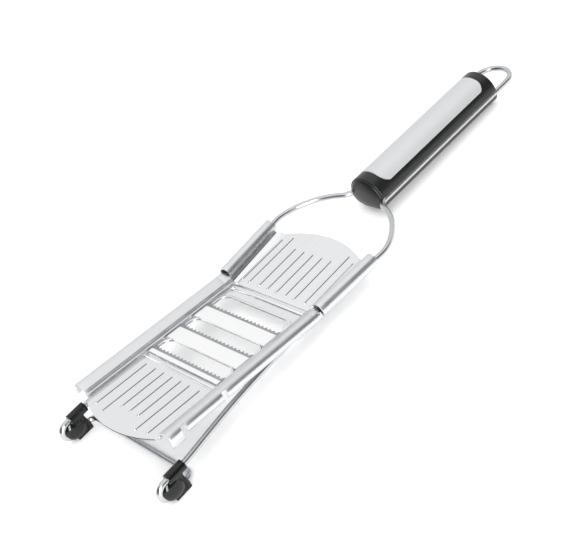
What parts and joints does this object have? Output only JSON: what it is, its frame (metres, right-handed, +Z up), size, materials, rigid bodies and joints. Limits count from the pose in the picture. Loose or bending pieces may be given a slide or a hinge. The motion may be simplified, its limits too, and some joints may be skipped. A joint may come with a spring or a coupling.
{
  "type": "mandoline slicer",
  "caption": "Flat hand slicer: ribbed feed ramp, raised serrated blades over open slots, landing plate, bent wire frame on moulded feet, and an oval handle with a hanging loop.",
  "frame": {"origin": "centre of the slicer's footprint box, on the surface it lies on", "axes": "+X along the length from the feet to the handle, +Y to the left when seen from the feet with the ramp up, +Z up"},
  "size_m": [0.3812, 0.099, 0.0328],
  "materials": {
    "bright_wire": "polished drawn stainless rod",
    "polished_sheet": "bright annealed stainless sheet with pressed ribs",
    "blade_steel": "ground stainless blade strip, polished bevel",
    "satin_inlay": "satin stainless",
    "black_shell": "fine-grained black moulded plastic",
    "black_gloss_shell": "glossy black moulded plastic",
    "black_foot": "semi-gloss black moulded plastic"
  },
  "bodies": {
    "root": {"hanging_loop_wire": "bright_wire", "crossbar_wire": "bright_wire", "left_neck_wire": "bright_wire", "right_neck_wire": "bright_wire", "left_leg_wire": "bright_wire", "right_leg_wire": "bright_wire", "left_toe_wire": "bright_wire", "right_toe_wire": "bright_wire", "left_foot": "black_foot", "right_foot": "black_foot", "ramp_plate": "polished_sheet", "landing_plate": "polished_sheet", "blade_bed": "polished_sheet", "upper_cross_strip": "polished_sheet", "lower_cross_strip": "polished_sheet", "left_rail": "polished_sheet", "right_rail": "polished_sheet", "left_ramp_sleeve": "polished_sheet", "right_ramp_sleeve": "polished_sheet", "blade_1": "blade_steel", "blade_2": "blade_steel", "blade_3": "blade_steel", "handle_upper_shell": "black_shell", "handle_lower_shell": "black_gloss_shell", "handle_front_cap": "black_shell", "handle_inlay": "satin_inlay", "handle_screw_front": "satin_inlay", "handle_screw_rear": "satin_inlay"}
  },
  "joints": []
}
